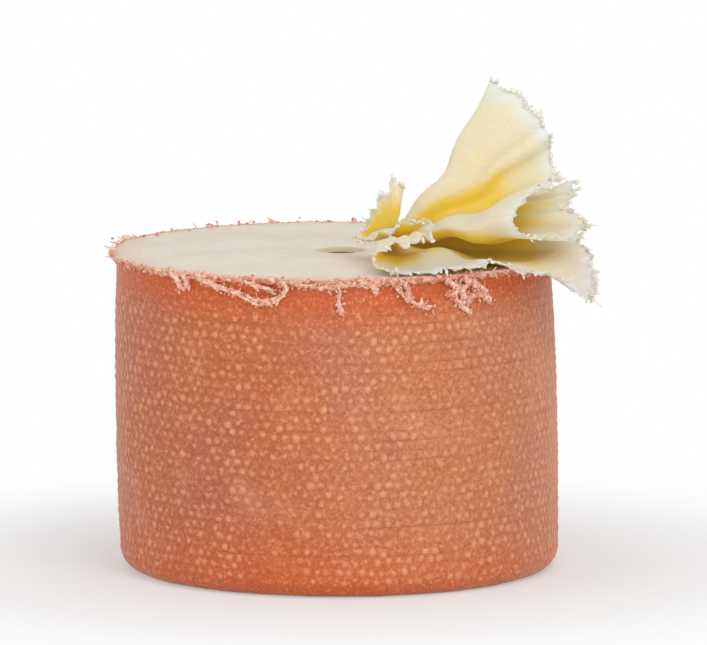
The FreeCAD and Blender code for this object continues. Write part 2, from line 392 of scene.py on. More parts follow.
# ---- shared helpers ----------------------------------------------------------------------------------
class Graph:
    """Adds nodes to a tree. A plain value given for an input is set there, and a socket is linked."""

    def __init__(self, tree):
        self.tree = tree

    def add(self, kind, *values, **settings):
        node = self.tree.nodes.new(kind)
        for key, value in settings.items():
            setattr(node, key, value)
        for place, value in enumerate(values):
            if value is not None:
                self.put(node.inputs[place], value)
        return node

    def put(self, socket, value):
        if isinstance(value, bpy.types.NodeSocket):
            self.tree.links.new(value, socket)
        elif socket.type == "RGBA":
            socket.default_value = (*value, 1.0)
        else:
            socket.default_value = value

    def feed(self, node, values):
        """Sets or links a node's inputs by their names."""
        for name, value in values.items():
            self.put(node.inputs[name], value)
        return node

    def math(self, operation, *values, clamp=False):
        return self.add("ShaderNodeMath", *values, operation=operation, use_clamp=clamp).outputs[0]

    def plus(self, first, second, clamp=False):
        return self.math("ADD", first, second, clamp=clamp)

    def minus(self, first, second):
        return self.math("SUBTRACT", first, second)

    def times(self, first, *others):
        for value in others:
            first = self.math("MULTIPLY", first, value)
        return first

    def vector(self, operation, *values):
        node = self.add("ShaderNodeVectorMath", *values, operation=operation)
        return node.outputs["Value" if operation == "LENGTH" else "Vector"]

    def scaled(self, vector, factor):
        node = self.add("ShaderNodeVectorMath", vector, operation="SCALE")
        return self.feed(node, {"Scale": factor}).outputs[0]

    def split(self, vector):
        return self.add("ShaderNodeSeparateXYZ", vector).outputs

    def join(self, x, y, z):
        return self.add("ShaderNodeCombineXYZ", x, y, z).outputs[0]

    def remap(self, value, low, high, new_low=0.0, new_high=1.0, curve="SMOOTHSTEP"):
        values = (value, low, high, new_low, new_high)
        return self.add("ShaderNodeMapRange", *values, interpolation_type=curve).outputs[0]

    def spread(self, chance, low, high):
        """A value from 0 to 1, stretched evenly to between low and high."""
        return self.remap(chance, 0.0, 1.0, low, high, "LINEAR")

    def mix(self, factor, first, second):
        node = self.add("ShaderNodeMix", data_type="RGBA")
        self.put(node.inputs[0], factor)
        self.put(node.inputs[6], first)
        self.put(node.inputs[7], second)
        return node.outputs[2]

    def noise(self, vector, scale, detail=3.0, roughness=0.55):
        node = self.add("ShaderNodeTexNoise", noise_dimensions="3D")
        values = {"Vector": vector, "Scale": scale, "Detail": detail, "Roughness": roughness}
        return self.feed(node, values).outputs[0]

    def dice(self, place):
        """White noise: one value and one colour by chance for each place."""
        return self.add("ShaderNodeTexWhiteNoise", place, noise_dimensions="3D").outputs

    def on_piece(self):
        """The place on the piece, in metres."""
        return self.add("ShaderNodeTexCoord").outputs["Object"]

    def painted(self, name):
        """An attribute of the mesh, read in a material."""
        return self.add("ShaderNodeAttribute", attribute_name=name).outputs["Fac"]

    def stored(self, name):
        """An attribute of the mesh, read in Geometry Nodes."""
        return self.add("GeometryNodeInputNamedAttribute", name, data_type="FLOAT").outputs[0]


def new_object(name, mesh):
    obj = bpy.data.objects.new(name, mesh)
    bpy.context.scene.collection.objects.link(obj)
    return obj


def smooth_mesh(name, vertices, faces):
    mesh = bpy.data.meshes.new(name)
    mesh.from_pydata([tuple(v) for v in vertices], [], faces)
    mesh.polygons.foreach_set("use_smooth", [True] * len(faces))
    mesh.update()
    return mesh


def store(mesh, name, values):
    attribute = mesh.attributes.new(name, "FLOAT", "POINT")
    attribute.data.foreach_set("value", np.asarray(values, dtype=np.float32).ravel())


def loop_grid(rings, points, closed=False):
    """Faces of a grid of rings that each close on themselves; closed joins the last ring to the first."""
    faces = []
    for ring in range(rings if closed else rings - 1):
        above = (ring + 1) % rings
        for i in range(points):
            j = (i + 1) % points
            faces.append((ring * points + i, ring * points + j, above * points + j, above * points + i))
    return faces


def apply_modifiers(obj):
    """Turns the object's evaluated shape into its plain mesh and removes the modifiers."""
    graph = bpy.context.evaluated_depsgraph_get()
    graph.update()
    mesh = bpy.data.meshes.new_from_object(obj.evaluated_get(graph))
    obj.modifiers.clear()
    obj.data = mesh
    return mesh


def add_tree(obj, tree, values):
    """Puts a Geometry Nodes tree on an object, with its named inputs set by their identifiers."""
    modifier = obj.modifiers.new(tree.name, "NODES")
    modifier.node_group = tree
    for item in tree.interface.items_tree:
        if item.item_type == "SOCKET" and item.in_out == "INPUT" and item.name in values:
            modifier[item.identifier] = values[item.name]


def new_tree(name, inputs):
    """A Geometry Nodes tree with a geometry in and out and named inputs, with its graph and both its ends."""
    tree = bpy.data.node_groups.new(name, "GeometryNodeTree")
    tree.interface.new_socket("Geometry", in_out="INPUT", socket_type="NodeSocketGeometry")
    for label, kind in inputs.items():
        tree.interface.new_socket(label, in_out="INPUT", socket_type="NodeSocket" + kind)
    tree.interface.new_socket("Geometry", in_out="OUTPUT", socket_type="NodeSocketGeometry")
    graph = Graph(tree)
    return tree, graph, graph.add("NodeGroupInput").outputs, graph.add("NodeGroupOutput")


def waves(angle, terms):
    """The sum of a few waves round the circle: each one's lobes, depth in millimetres and turn in degrees."""
    return sum(depth * MM * np.cos(lobes * angle + math.radians(turn)) for lobes, depth, turn in terms)


def between(values, place):
    """A smooth curve along the values as a cubic spline, read at each place, which counts them from 0."""
    padded = np.concatenate([[2 * values[0] - values[1]], values, [2 * values[-1] - values[-2]]])
    i = np.minimum(place.astype(int), len(values) - 2)
    f = (place - i).reshape(-1, *[1] * (np.ndim(values) - 1))
    return (
        padded[i] * (1 - f) ** 3
        + padded[i + 1] * (3 * f**3 - 6 * f**2 + 4)
        + padded[i + 2] * (-3 * f**3 + 3 * f**2 + 3 * f + 1)
        + padded[i + 3] * f**3
    ) / 6


def run_along(points):
    """How far along a path each of its points lies."""
    return np.concatenate([[0.0], np.cumsum(np.linalg.norm(np.diff(points, axis=0), axis=1))])


# ---- the drum's own shape ----------------------------------------------------------------------------
def drum_centre(drum, z):
    return -drum.spindle_offset - drum.lean * z / drum.height


def drum_radius(drum, z, angle):
    """The side wall's radius about the drum's own axis, without the lip or the rounded foot."""
    span = max(drum.belly_height, drum.height - drum.belly_height)
    narrowing = drum.barrel_depth * ((z - drum.belly_height) / span) ** 2
    return drum.belly_radius - narrowing + waves(angle, OUT_OF_ROUND)


def lip_flare(drum, z, angle):
    rise = np.clip(1 - (drum.height - z) / (2 * drum.lip_thickness), 0, 1)
    return rise**2 * (drum.lip_reach + waves(angle, LIP_WAVES) + waves(angle, LIP_RAGS))


def wall_point(drum, z, angle, stand_off=0.0):
    radius = drum_radius(drum, z, angle) + lip_flare(drum, z, angle) + stand_off
    return drum_centre(drum, z) + radius * np.cos(angle), radius * np.sin(angle), z


# ---- the rind's bumps, the same in the relief and in the finish --------------------------------------
def bump_field(graph, position, rind, drum):
    """Nodes for the lattice of bumps: how high the bump is at a place, 0 to 1, and that bump's own chance."""
    x, y, z = graph.split(position)
    tilt = graph.times(graph.math("SINE", graph.times(z, TILT_WAVE)), ROW_TILT)
    turn = graph.plus(graph.math("ARCTAN2", y, graph.plus(x, drum.spindle_offset)), tilt)
    along = graph.times(turn, rind.bumps_round / (2 * math.pi))
    wander = graph.times(graph.math("SINE", graph.times(turn, WANDER_LOBES)), ROW_WANDER)
    height = graph.plus(graph.math("DIVIDE", z, rind.row_pitch), wander)
    row = graph.math("ROUND", height)
    every_other = graph.math("FLOORED_MODULO", row, 2.0)
    shifted = graph.minus(along, graph.times(every_other, 0.5))
    cell = graph.math("ROUND", shifted)
    wrapped = graph.math("FLOORED_MODULO", cell, float(rind.bumps_round))
    chance = graph.dice(graph.join(wrapped, row, float(rind.seed)))
    nudge = graph.split(chance["Color"])
    beside = graph.minus(graph.minus(shifted, cell), graph.spread(nudge[0], -STRAY, STRAY))
    above = graph.minus(graph.minus(height, row), graph.spread(nudge[1], -STRAY, STRAY))
    pitch = 2 * math.pi * drum.belly_radius / rind.bumps_round
    offset = graph.join(graph.times(beside, pitch), graph.times(above, rind.row_pitch), 0.0)
    ragged = graph.times(graph.minus(graph.noise(position, OUTLINE_GRAIN, 2.0), 0.5), OUTLINE_DEPTH)
    reached = graph.plus(graph.vector("LENGTH", offset), ragged)
    own = graph.math("DIVIDE", reached, graph.spread(nudge[2], *BUMP_SIZES))
    return graph.remap(own, rind.bump_radius, 0.0), chance["Value"]


def bump_strength(graph, position, chance, rind, drum):
    """Nodes for how strong a bump is: by chance, fading out under the rim and in smoother patches."""
    z = graph.split(position)[2]
    under_rim = graph.remap(z, drum.height - BARE_RIM, drum.height - rind.bare_band)
    over_foot = graph.remap(z, *FOOT_FADE)
    patch = graph.remap(graph.noise(position, PATCH_GRAIN, 2.0), 0.34, 0.5, SMOOTHEST_PATCH, 1.0)
    own = graph.spread(chance, WEAKEST_BUMP, 1.0)
    return graph.times(graph.times(under_rim, over_foot), graph.times(patch, own))


def relief_tree(rind, drum):
    """Geometry Nodes: raises the wall's bumps and hollows, and gives the rind and the paste their finish."""
    inputs = {"Bump Height": "Float", "Unevenness": "Float", "Rind": "Material", "Paste": "Material"}
    tree, graph, given, result = new_tree("Rind relief", inputs)
    position = graph.add("GeometryNodeInputPosition").outputs[0]
    normal = graph.add("GeometryNodeInputNormal").outputs[0]
    wall = graph.stored("wall")
    bump, chance = bump_field(graph, position, rind, drum)
    strength = graph.times(bump_strength(graph, position, chance, rind, drum), wall)
    relief = graph.times(bump, strength, given["Bump Height"])
    soft = graph.minus(graph.noise(position, HOLLOW_GRAIN, 3.0), 0.5)
    hollow = graph.times(soft, given["Unevenness"], wall)
    offset = graph.scaled(normal, graph.plus(relief, hollow))
    moved = graph.add("GeometryNodeSetPosition", given["Geometry"], None, None, offset).outputs[0]
    rinded = graph.add("GeometryNodeSetMaterial", moved, True, given["Rind"]).outputs[0]
    off_wall = graph.math("LESS_THAN", wall, 0.5)
    realized = graph.add("GeometryNodeRealizeInstances", rinded).outputs[0]
    pasted = graph.add("GeometryNodeSetMaterial", realized, off_wall, given["Paste"]).outputs[0]
    graph.feed(result, {"Geometry": pasted})
    return tree


# ---- materials ---------------------------------------------------------------------------------------
def principled(name):
    material = bpy.data.materials.new(name)
    material.use_nodes = True
    return material, Graph(material.node_tree), material.node_tree.nodes["Principled BSDF"]


def add_relief(graph, shader, height, distance, strength=1.0):
    values = {"Height": height, "Distance": distance, "Strength": strength}
    graph.feed(shader, {"Normal": graph.feed(graph.add("ShaderNodeBump"), values).outputs[0]})


def add_glow(graph, shader, weight, radius, scale):
    """Light that goes a little way into the cheese: how much, and how far its red, green and blue go."""
    names = ("Subsurface Weight", "Subsurface Radius", "Subsurface Scale")
    graph.feed(shader, dict(zip(names, (weight, radius, scale))))


def rind_tone(graph, position, rind, drum):
    """The rind's broad colours: rosy and dry patches, a side painted paler as if lit from +X, and orange near
    the rim and the foot.
    """
    x, _, z = graph.split(position)
    broad = graph.noise(position, 22.0, 2.0)
    rosy = graph.remap(graph.noise(graph.vector("ADD", position, (0.3, 0.1, 0.2)), 30.0), 0.44, 0.62)
    dry = graph.remap(graph.noise(graph.vector("ADD", position, (0.7, 0.4, 0.1)), 52.0, 4.0), 0.52, 0.7)
    tone = graph.mix(graph.times(rosy, 0.7), rind.salmon, rind.rose)
    tone = graph.mix(graph.times(dry, 0.5), tone, rind.dry_and_lit_straw)
    # Painted light: the rind turns paler towards +X, as if that side were lit more.
    painted_lit_side = graph.plus(x, graph.times(broad, 0.05))
    tone = graph.mix(graph.remap(painted_lit_side, -0.01, 0.065, 0.0, 0.4), tone, rind.dry_and_lit_straw)
    near_rim = graph.remap(graph.plus(z, graph.times(broad, 0.014)), drum.height - 0.008, drum.height + 0.004)
    near_foot = graph.remap(graph.plus(z, graph.times(broad, 0.02)), 0.034, 0.008)
    return graph.mix(graph.math("MAXIMUM", near_rim, graph.times(near_foot, 0.7)), tone, rind.orange)


def cloth_lines(graph, position, rind):
    """Thin broken lines round the wheel, between some of the rows of bumps."""
    z = graph.split(position)[2]
    row = graph.math("ROUND", graph.math("DIVIDE", graph.plus(z, rind.row_pitch / 2), rind.row_pitch))
    drawn = graph.dice(graph.join(row, 3.0, 1.0))["Value"]
    middle = graph.times(graph.minus(row, 0.5), rind.row_pitch)
    to_line = graph.math("ABSOLUTE", graph.minus(z, middle))
    long_grain = graph.vector("MULTIPLY", position, (1.0, 1.0, 8.0))
    broken = graph.remap(graph.noise(long_grain, 45.0, 2.0), 0.42, 0.6)
    has_line = graph.math("GREATER_THAN", drawn, ROWS_WITHOUT_LINE)
    return graph.times(graph.remap(to_line, LINE_WIDTH, 0.0), has_line, broken)


def rind_material(rind, drum):
    """Salmon washed rind: fine grain, broken lines, a pale dot on each bump and a torn band at the rim."""
    material, graph, shader = principled("washed rind")
    position = graph.on_piece()
    bump, chance = bump_field(graph, position, rind, drum)
    height = graph.times(bump, bump_strength(graph, position, chance, rind, drum))
    grain = graph.noise(position, 1100.0, 4.0, 0.75)
    tone = rind_tone(graph, position, rind, drum)
    tone = graph.mix(graph.remap(grain, 0.48, 0.7, 0.0, 0.75), tone, rind.pit_colour)
    tone = graph.mix(graph.remap(grain, 0.48, 0.3, 0.0, 0.8), tone, rind.bump_colour)
    tone = graph.mix(graph.times(cloth_lines(graph, position, rind), 0.45), tone, rind.pit_colour)
    tone = graph.mix(graph.remap(height, 0.05, 0.85, 0.0, 0.7), tone, rind.bump_colour)
    torn = graph.plus(graph.split(position)[2], graph.times(graph.noise(position, 500.0), 0.0022))
    at_rim = graph.remap(torn, drum.height - 0.0008, drum.height + 0.0002)
    graph.feed(shader, {
        "Base Color": graph.mix(at_rim, tone, rind.torn_colour),
        "Roughness": graph.remap(grain, 0.3, 0.7, 0.45, 0.65),
        "Sheen Weight": rind.bloom,
        "Sheen Roughness": 0.4,
        "Sheen Tint": (1.0, 0.72, 0.58),
    })
    add_glow(graph, shader, 0.2, (1.0, 0.35, 0.2), 0.001)
    add_relief(graph, shader, graph.plus(height, graph.times(grain, 0.4)), 0.00025)
    return material


def paste_material(drum, paste):
    """The scraped top: cream, with the blade's faint arcs, a pinker band at the rim and painted shade
    darkening the hole.
    """
    material, graph, shader = principled("scraped paste")
    position = graph.on_piece()
    x, y, _ = graph.split(position)
    from_axis = graph.vector("LENGTH", graph.join(x, y, 0.0))
    turn = graph.math("ARCTAN2", y, x)
    arcs = graph.noise(graph.join(graph.times(from_axis, 900.0), graph.times(turn, 1.6), 0.0), 1.0, 4.0, 0.6)
    tone = graph.mix(graph.remap(graph.noise(position, 60.0), 0.35, 0.65), paste.cream, paste.cloud)
    tone = graph.mix(graph.remap(arcs, 0.52, 0.72, 0.0, 0.4), tone, paste.arcs)
    rim = graph.remap(from_axis, drum.belly_radius - 0.006, drum.belly_radius + 0.001)
    tone = graph.mix(graph.times(rim, 0.55), tone, paste.rim)
    seat = graph.remap(from_axis, drum.seat_radius + 0.002, drum.seat_radius - 0.001)
    tone = graph.mix(graph.times(seat, 0.5), tone, paste.seat)
    # Painted shade: the inside of the hole is darkened as shade would darken it.
    bore = graph.remap(from_axis, drum.bore_radius + 0.0005, drum.bore_radius)
    tone = graph.mix(graph.times(bore, 0.85), tone, paste.bore)
    graph.feed(shader, {"Base Color": tone, "Roughness": 0.5})
    add_glow(graph, shader, 0.6, (1.0, 0.7, 0.4), 0.002)
    add_relief(graph, shader, arcs, 0.0003, 0.6)
    return material


def shred_material(shreds):
    """Torn paste smeared with rind, as pale or dark as each shred's own tint."""
    material, graph, shader = principled("torn paste")
    speckle = graph.noise(graph.on_piece(), 700.0, 4.0, 0.7)
    speckled = graph.remap(speckle, 0.35, 0.65, -0.35, 0.45, "LINEAR")
    mixed = graph.plus(graph.painted("tint"), speckled, clamp=True)
    graph.feed(shader, {"Base Color": graph.mix(mixed, shreds.pale, shreds.dark), "Roughness": 0.55})
    add_glow(graph, shader, 0.3, (1.0, 0.6, 0.35), 0.0004)
    add_relief(graph, shader, speckle, 0.0004, 0.8)
    return material


def shaving_material(rosette, name, glow, light_depth):
    """The shaving: cream and softly see-through, with a painted yellow glow deep between the folds, and
    whiter at its edge.
    """
    material, graph, shader = principled(name)
    position = graph.on_piece()
    edge = graph.painted("edge")
    streak = graph.noise(graph.vector("MULTIPLY", position, (1.0, 1.0, 3.5)), 260.0, 4.0, 0.6)
    # Painted light: yellow where the folds close in, standing in for light bouncing between them and shining
    # through them.
    inside = graph.times(graph.painted("painted_glow_mask"), graph.remap(edge, 0.55, 1.0, 1.0, 0.6))
    cloud = graph.remap(graph.noise(position, 75.0), 0.3, 0.7, -0.12, 0.12, "LINEAR")
    deep = graph.remap(graph.plus(inside, cloud, clamp=True), 0.26, 0.6)
    tone = graph.mix(deep, rosette.cream, rosette.painted_fold_glow)
    tone = graph.mix(graph.remap(streak, 0.5, 0.75, 0.0, 0.22), tone, rosette.streak)
    tone = graph.mix(graph.remap(edge, 0.86, 1.0, 0.0, 0.85), tone, rosette.torn)
    graph.feed(shader, {"Base Color": tone, "Roughness": 0.55, "Subsurface Anisotropy": 0.8})
    add_glow(graph, shader, glow, (1.0, 0.85, 0.5), light_depth)
    grain = graph.noise(position, 1300.0, 3.0, 0.6)
    add_relief(graph, shader, graph.plus(streak, graph.times(grain, 0.6)), 0.0003, 0.8)
    return material


# ---- the wheel ---------------------------------------------------------------------------------------
def drum_profile(drum, rind):
    """The closed outline of half the drum, as rows of (kind, radius share or inset, height).

    It runs from the hole's foot out along the standing face, up the wall, in over the top and down the hole.
    """
    rows = [("face", k / FACE_RINGS, 0.0) for k in range(FACE_RINGS)]
    for turn in np.linspace(0, math.pi / 2, FOOT_RINGS, endpoint=False):
        inset, rise = 1 - math.sin(turn), 1 - math.cos(turn)
        rows.append(("wall", drum.foot_radius * inset, drum.foot_radius * rise))
    step = rind.row_pitch / MESH_PER_BUMP
    flare = 2 * drum.lip_thickness
    count = round((drum.height - drum.foot_radius - flare) / step)
    rows += [("wall", 0.0, drum.foot_radius + k * step) for k in range(count)]
    rows += [("wall", 0.0, drum.height - flare * (1 - part) ** 1.5) for part in np.linspace(0, 1, LIP_RINGS)]
    rows += [("top", k / TOP_RINGS, drum.height) for k in range(1, TOP_RINGS + 1)]
    floor = drum.height - drum.seat_depth
    rows += [("seat", drum.seat_radius, floor), ("seat", drum.bore_radius, floor)]
    rows += [("bore", drum.bore_radius, floor * (1 - k / BORE_RINGS)) for k in range(1, BORE_RINGS)]
    return rows


def drum_mesh(drum, rind):
    columns = MESH_PER_BUMP * rind.bumps_round
    angle = np.linspace(0, 2 * math.pi, columns, endpoint=False)
    cos, sin = np.cos(angle), np.sin(angle)
    rings, wall = [], []
    for kind, where, z in drum_profile(drum, rind):
        if kind == "wall":
            x, y, _ = wall_point(drum, z, angle, -where)
        elif kind == "face":
            outer = drum_radius(drum, 0.0, angle) - drum.foot_radius
            x = (drum_centre(drum, 0.0) + outer * cos) * where + drum.bore_radius * cos * (1 - where)
            y = outer * sin * where + drum.bore_radius * sin * (1 - where)
        elif kind == "top":
            rim_x, rim_y, _ = wall_point(drum, z, angle)
            x = rim_x * (1 - where) + drum.seat_radius * cos * where
            y = rim_y * (1 - where) + drum.seat_radius * sin * where
        else:
            x, y = where * cos, where * sin
        rings.append(np.stack([x, y, np.full(columns, z)], axis=1))
        wall.append(np.full(columns, 1.0 if kind in ("wall", "face") else 0.0))
    mesh = smooth_mesh("wheel_drum", np.concatenate(rings), loop_grid(len(rings), columns, closed=True))
    store(mesh, "wall", np.concatenate(wall))
    return mesh


class CHEESE_OT_wheel(bpy.types.Operator):
    """Builds the wheel: rind with bumps, ragged lip, scraped top and the spindle's hole"""

    bl_idname = "cheese.wheel"
    bl_label = "Wheel"

    def execute(self, context):
        drum, rind = context.scene.cheese_drum, context.scene.cheese_rind
        wheel = new_object("wheel_drum", drum_mesh(drum, rind))
        add_tree(wheel, relief_tree(rind, drum), {
            "Bump Height": rind.bump_height,
            "Unevenness": rind.unevenness,
            "Rind": rind_material(rind, drum),
            "Paste": paste_material(drum, context.scene.cheese_paste),
        })
        apply_modifiers(wheel)
        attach(wheel, BODY)
        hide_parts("wheel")
        return {"FINISHED"}


# ---- shreds and crumbs -------------------------------------------------------------------------------
def along_points(points, step):
    """A smooth path through the points, with a point about every step of its length."""
    points = np.array(points, dtype=float)
    fine = between(points, np.linspace(0, len(points) - 1, 20 * len(points)))
    run = run_along(fine)
    wanted = np.linspace(0, run[-1], max(FEWEST_GRAINS, int(run_along(points)[-1] / step)))
    return np.stack([np.interp(wanted, run, fine[:, k]) for k in range(3)], axis=1)


def crumbled_rope(path, facing, width, flatness, roughness, chance, sides=8):
    """A rope of crumbs along a path, flattened where it faces: a closed lumpy tube with blunt ends."""
    rings = len(path)
    tangents = np.gradient(path, axis=0)
    tangents /= np.linalg.norm(tangents, axis=1, keepdims=True)
    across = np.cross(tangents, facing)
    across /= np.linalg.norm(across, axis=1, keepdims=True)
    out = np.cross(across, tangents)
    place = np.linspace(0, 1, rings)
    blunt = np.sqrt(np.clip(np.minimum(place, 1 - place) * rings / 2.5 + 0.12, 0, 1))
    thick = width / 2 * blunt * (1 + 0.3 * chance.uniform(-1, 1, rings))
    vertices = []
    for k in range(rings):
        for i in range(sides):
            turn = 2 * math.pi * (i + 0.5 * (k % 2)) / sides
            half = thick[k] * (1 + roughness * chance.uniform(-1, 1))
            side = across[k] * (half * math.cos(turn))
            vertices.append(path[k] + side + out[k] * (half * flatness * math.sin(turn)))
    faces = loop_grid(rings, sides)
    faces.append(tuple(reversed(range(sides))))
    faces.append(tuple((rings - 1) * sides + i for i in range(sides)))
    return vertices, faces


def on_wall(drum, points, stand_off):
    """Places on the side wall, from degrees round the spindle and millimetres below the top."""
    places = []
    for degrees, drop in points:
        z = drum.height - drop * MM
        places.append([float(value) for value in wall_point(drum, z, math.radians(degrees), stand_off)])
    return places


def hidden_ropes(shreds, chance):
    """Ropes for the rest of the rim, laid like the listed ones: width and points."""
    ropes = []
    for start in np.linspace(-18, 164, shreds.rope_count):
        angle, drop = start + chance.uniform(-4, 4), 0.6
        points = [(angle, drop)]
        lean, fall = chance.normal(0, 2.2), chance.uniform(0.4, 1.9)
        for _ in range(4):
            angle, drop = angle + lean + chance.normal(0, 0.7), drop + fall * chance.uniform(0.5, 1.4)
            points.append((angle, drop))
        ropes.append((chance.uniform(1.2, 2.2), tuple(points)))
    return ropes


class Heap:
    """Gathers ropes of crumbs for one mesh, with a tint for each of their corners."""

    def __init__(self, roughness, chance, sides):
        self.roughness, self.chance, self.sides = roughness, chance, sides
        self.vertices, self.faces, self.tints = [], [], []

    def lay(self, path, width, flatness, tint):
        outward = path * (1.0, 1.0, 0.0)
        points, walls = crumbled_rope(path, outward, width, flatness, self.roughness, self.chance, self.sides)
        self.faces.extend(tuple(len(self.vertices) + i for i in face) for face in walls)
        self.vertices.extend(points)
        self.tints.extend(np.clip(tint + 0.3 * self.chance.uniform(-1, 1, len(points)), 0, 1))


def lay_rope(drum, shreds, ropes, bits, width, points):
    """Lays a rope as a few strands that lie over one another, with loose crumbs about them."""
    chance = ropes.chance
    for strand in range(STRANDS):
        shaken = [(a + chance.uniform(-0.6, 0.6), max(0.1, d + chance.uniform(-0.6, 0.6))) for a, d in points]
        path = along_points(on_wall(drum, shaken, 0.0003 + 0.0004 * strand), shreds.grain_size)
        ropes.lay(path, width * MM * chance.uniform(0.4, 0.65), ROPE_FLATNESS, chance.uniform(0.1, 0.5))
        for _ in range(int(shreds.loose_crumbs * len(path))):
            middle = path[chance.integers(len(path))] + chance.normal(0, 0.32 * width * MM, 3)
            short = middle + chance.normal(0, 0.0005, 3) * np.linspace(-0.5, 0.5, 4)[:, None]
            bits.lay(short, chance.uniform(0.0004, 0.0009), 1.0, chance.uniform(0, 0.7))


def lay_short_rope(drum, shreds, ropes):
    """Lays a short rope close under the rim."""
    chance = ropes.chance
    angle, drop = chance.uniform(0, 360), chance.uniform(0.1, 0.9)
    points = [(angle, drop)]
    for _ in range(3):
        angle, drop = angle + chance.normal(0, 1.1), drop + chance.uniform(-0.2, 0.75)
        points.append((angle, max(0.1, drop)))
    path = along_points(on_wall(drum, points, 0.0002), shreds.grain_size)
    ropes.lay(path, chance.uniform(0.0006, 0.0015), ROPE_FLATNESS, chance.uniform(0.0, 0.9))


def lay_spike(drum, ropes):
    """Lays a thin flake that sticks out past the lip."""
    chance = ropes.chance
    azimuth, reach = chance.uniform(0, 2 * math.pi), chance.uniform(0.0006, 0.0026)
    rise = chance.uniform(-0.0005, 0.0014)
    place = np.linspace(0, 1, 6)
    angle = azimuth + chance.uniform(-0.03, 0.03) * place
    x, y, _ = wall_point(drum, drum.height, angle, np.linspace(-SPIKE_ROOT, reach, 6))
    path = np.stack([x, y, drum.height - 0.0001 + rise * place**1.6], axis=1)
    ropes.lay(path, chance.uniform(0.0005, 0.0012), SPIKE_FLATNESS, 0.0)


class CHEESE_OT_shreds(bpy.types.Operator):
    """Builds the ropes of crumbled rind and paste that hang from the rim"""

    bl_idname = "cheese.shreds"
    bl_label = "Rim shreds"

    def execute(self, context):
        drum, shreds = context.scene.cheese_drum, context.scene.cheese_shreds
        chance = np.random.default_rng(shreds.seed)
        ropes, bits = (Heap(shreds.roughness, chance, sides) for sides in (8, 6))
        for width, points in [*ROPES, *hidden_ropes(shreds, chance)]:
            lay_rope(drum, shreds, ropes, bits, width, points)
        for _ in range(shreds.small_count):
            lay_short_rope(drum, shreds, ropes)
        for _ in range(shreds.spike_count):
            lay_spike(drum, ropes)
        finish = shred_material(shreds)
        for name, heap in (("rim_ropes", ropes), ("rope_crumbs", bits)):
            mesh = smooth_mesh(name, heap.vertices, heap.faces)
            store(mesh, "tint", heap.tints)
            mesh.materials.append(finish)
            piece = new_object(name, mesh)
            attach(piece, BODY)
        return {"FINISHED"}


def crumb_tree():
    """Geometry Nodes: scatters lumpy crumbs over the band that the input mesh covers."""
    inputs = {"Density": "Float", "Size": "Float", "Seed": "Int", "Finish": "Material"}
    tree, graph, given, result = new_tree("Crumbs", inputs)
    scatter = graph.feed(graph.add("GeometryNodeDistributePointsOnFaces", distribute_method="RANDOM"), {
        "Mesh": given["Geometry"],
        "Density": graph.times(given["Density"], graph.stored("crowd")),
        "Seed": given["Seed"],
    })
    ball = graph.add("GeometryNodeMeshIcoSphere", 1.0, 2).outputs[0]
    place = graph.add("GeometryNodeInputPosition").outputs[0]
    rough = graph.scaled(place, graph.remap(graph.noise(place, 1.3, 2.0), 0.2, 0.8, *LUMPS))
    lumpy = graph.add("GeometryNodeSetPosition", ball, None, rough).outputs[0]
    turn = graph.add("FunctionNodeRandomValue", None, (6.28, 6.28, 6.28), data_type="FLOAT_VECTOR")
    size = graph.add("FunctionNodeRandomValue", None, None, *CRUMB_SIZES, data_type="FLOAT")
    crumbs = graph.feed(graph.add("GeometryNodeInstanceOnPoints"), {
        "Points": scatter.outputs["Points"],
        "Instance": graph.add("GeometryNodeSetShadeSmooth", lumpy).outputs[0],
        "Rotation": turn.outputs[0],
        "Scale": graph.times(given["Size"], size.outputs[1]),
    })
    tint = graph.add("FunctionNodeRandomValue", None, None, 0.0, DARKEST_CRUMB, data_type="FLOAT")
    tinted = graph.add("GeometryNodeStoreNamedAttribute", crumbs.outputs[0], None, "tint", tint.outputs[1],
                       data_type="FLOAT", domain="INSTANCE").outputs[0]
    realized = graph.add("GeometryNodeRealizeInstances", tinted).outputs[0]
    finished = graph.add("GeometryNodeSetMaterial", realized, True, given["Finish"]).outputs[0]
    graph.feed(result, {"Geometry": finished})
    return tree


def crumb_bands(drum):
    """The band along the rim where crumbs lie, with how crowded each place is."""
    columns = 180
    angle = np.linspace(0, 2 * math.pi, columns, endpoint=False)
    rings, crowd = [], []
    for inset, crowded in CRUMB_BAND:
        x, y, _ = wall_point(drum, drum.height, angle, -inset)
        rings.append(np.stack([x, y, np.full(columns, drum.height)], axis=1))
        crowd.append(np.full(columns, crowded))
    mesh = smooth_mesh("crumb_bands", np.concatenate(rings), loop_grid(len(rings), columns))
    store(mesh, "crowd", np.concatenate(crowd))
    return mesh


class CHEESE_OT_crumbs(bpy.types.Operator):
    """Scatters loose crumbs along the rim"""

    bl_idname = "cheese.crumbs"
    bl_label = "Crumbs"

    def execute(self, context):
        drum, shreds = context.scene.cheese_drum, context.scene.cheese_shreds
        crumbs = new_object("crumbs", crumb_bands(drum))
        add_tree(crumbs, crumb_tree(), {
            "Density": shreds.crumb_density,
            "Size": shreds.crumb_size,
            "Seed": shreds.seed,
            "Finish": bpy.data.materials.get("torn paste") or shred_material(shreds),
        })
        apply_modifiers(crumbs)
        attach(crumbs, BODY)
        return {"FINISHED"}


# ---- the rosette -------------------------------------------------------------------------------------
def direction(azimuth, elevation):
    level = np.cos(elevation)
    return np.stack([level * np.cos(azimuth), level * np.sin(azimuth), np.sin(elevation)], axis=-1)


def fold_path(width, columns):
    """The gathered sheet's outer edge, evenly spaced along its length: run, azimuth, elevation and reach."""
    azimuths, elevations, shares = (np.array(column, dtype=float) for column in zip(*FOLDS))
    place = np.linspace(0, len(FOLDS) - 1, 6000)
    azimuth = np.radians(between(azimuths, place))
    elevation = np.radians(between(elevations, place))
    reach = width * between(shares, place)
    run = run_along(direction(azimuth, elevation) * reach[:, None])
    wanted = np.linspace(0, run[-1], columns)
    return [wanted] + [np.interp(wanted, run, values) for values in (azimuth, elevation, reach)]


